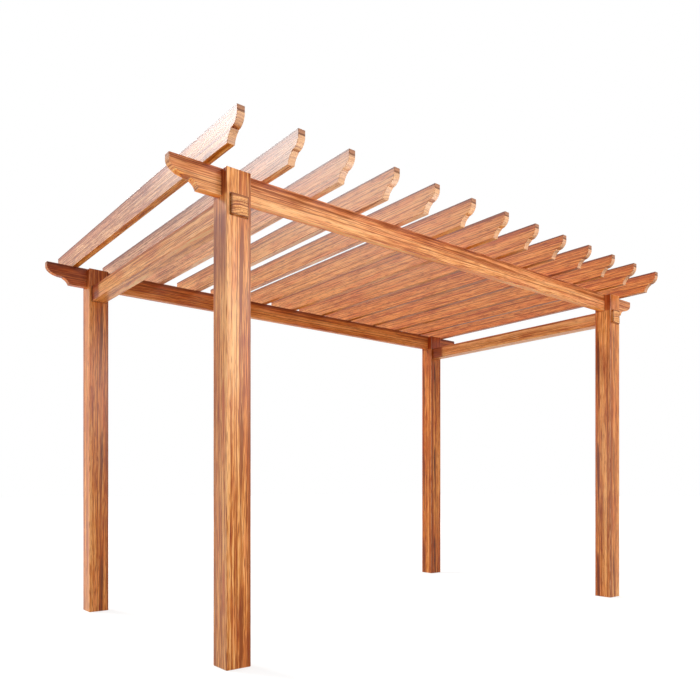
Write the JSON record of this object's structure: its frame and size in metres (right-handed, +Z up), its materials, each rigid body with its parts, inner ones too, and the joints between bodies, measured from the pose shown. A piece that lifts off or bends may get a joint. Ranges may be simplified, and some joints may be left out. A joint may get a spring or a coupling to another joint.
{
  "type": "timber pergola",
  "caption": "Open timber pergola: square posts carry two long beams and two side ties, and a row of rafters with scrolled ends lies across the beams for shade and climbing plants.",
  "frame": {"origin": "floor level, at the centre of the box around the whole pergola", "axes": "+X along the two beams to the right, +Y along the rafters towards the back, +Z up"},
  "size_m": [4.58, 2.95, 2.868],
  "materials": {
    "post_wood": "glossy stain",
    "beam_wood": "glossy stain",
    "tie_wood": "glossy stain",
    "rafter_wood": "glossy stain"
  },
  "bodies": {
    "root": {"post_front_left": "post_wood", "post_front_right": "post_wood", "post_back_left": "post_wood", "post_back_right": "post_wood", "beam_front": "beam_wood", "beam_back": "beam_wood", "tie_left": "tie_wood", "tie_right": "tie_wood", "rafter_01": "rafter_wood", "rafter_02": "rafter_wood", "rafter_03": "rafter_wood", "rafter_04": "rafter_wood", "rafter_05": "rafter_wood", "rafter_06": "rafter_wood", "rafter_07": "rafter_wood", "rafter_08": "rafter_wood", "rafter_09": "rafter_wood", "rafter_10": "rafter_wood", "rafter_11": "rafter_wood", "rafter_12": "rafter_wood", "rafter_13": "rafter_wood"}
  },
  "joints": []
}
